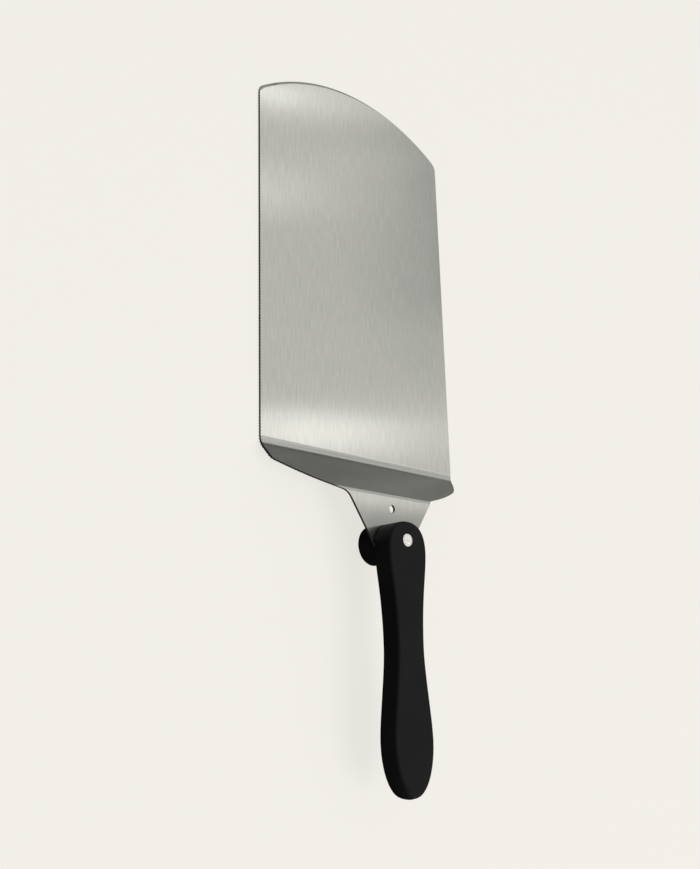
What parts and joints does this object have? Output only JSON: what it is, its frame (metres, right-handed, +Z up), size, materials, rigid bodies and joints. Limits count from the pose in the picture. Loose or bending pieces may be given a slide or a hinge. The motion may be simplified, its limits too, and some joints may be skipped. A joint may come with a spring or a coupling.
{
  "type": "folding pizza server",
  "caption": "Pizza server with a flat cranked steel blade, finely toothed along one side, on a waisted black grip that swings over the blade about a clamp bolt and knob.",
  "frame": {"origin": "on the plane that the plate lies on, under the middle of the whole server's length and width", "axes": "+Y along the server from the grip to the blade's tip, +Z up out of the plate's serving face, +X to the side without teeth"},
  "size_m": [0.1265, 0.334, 0.0269],
  "materials": {
    "blade_steel": "stainless sheet brushed lengthwise",
    "grip_black": "fine matte moulded black",
    "bolt_steel": "turned and polished",
    "knob_black": "fine matte moulded black",
    "washer_nylon": "natural nylon",
    "washer_steel": "punched stainless",
    "spring_steel": "spring steel",
    "insert_brass": "turned brass"
  },
  "bodies": {
    "blade": {"blade": "blade_steel"},
    "grip": {"grip": "grip_black", "pivot_bolt": "bolt_steel", "friction_washer": "washer_nylon"},
    "clamp_washers": {"steel_washer": "washer_steel", "spring_washer": "spring_steel"},
    "knob": {"clamp_knob": "knob_black", "knob_insert": "insert_brass"}
  },
  "joints": [
    {"name": "fold", "type": "hinge", "parent": "blade", "child": "grip", "pos_m": [0, -0.05805, 0.017], "axis": [0, 0, 1], "continuous": true},
    {"name": "clamp_travel", "type": "slide", "parent": "grip", "child": "clamp_washers", "axis": [0, 0, -1], "range_m": [0, 0.0014]},
    {"name": "knob_turn", "type": "hinge", "parent": "clamp_washers", "child": "knob", "pos_m": [0, -0.05805, 0.01], "axis": [0, 0, -1], "range_deg": [0, 720]}
  ],
  "couplings": [
    {"joint": "clamp_travel", "follows": "knob_turn", "m_per_rad": 0.0001114}
  ]
}
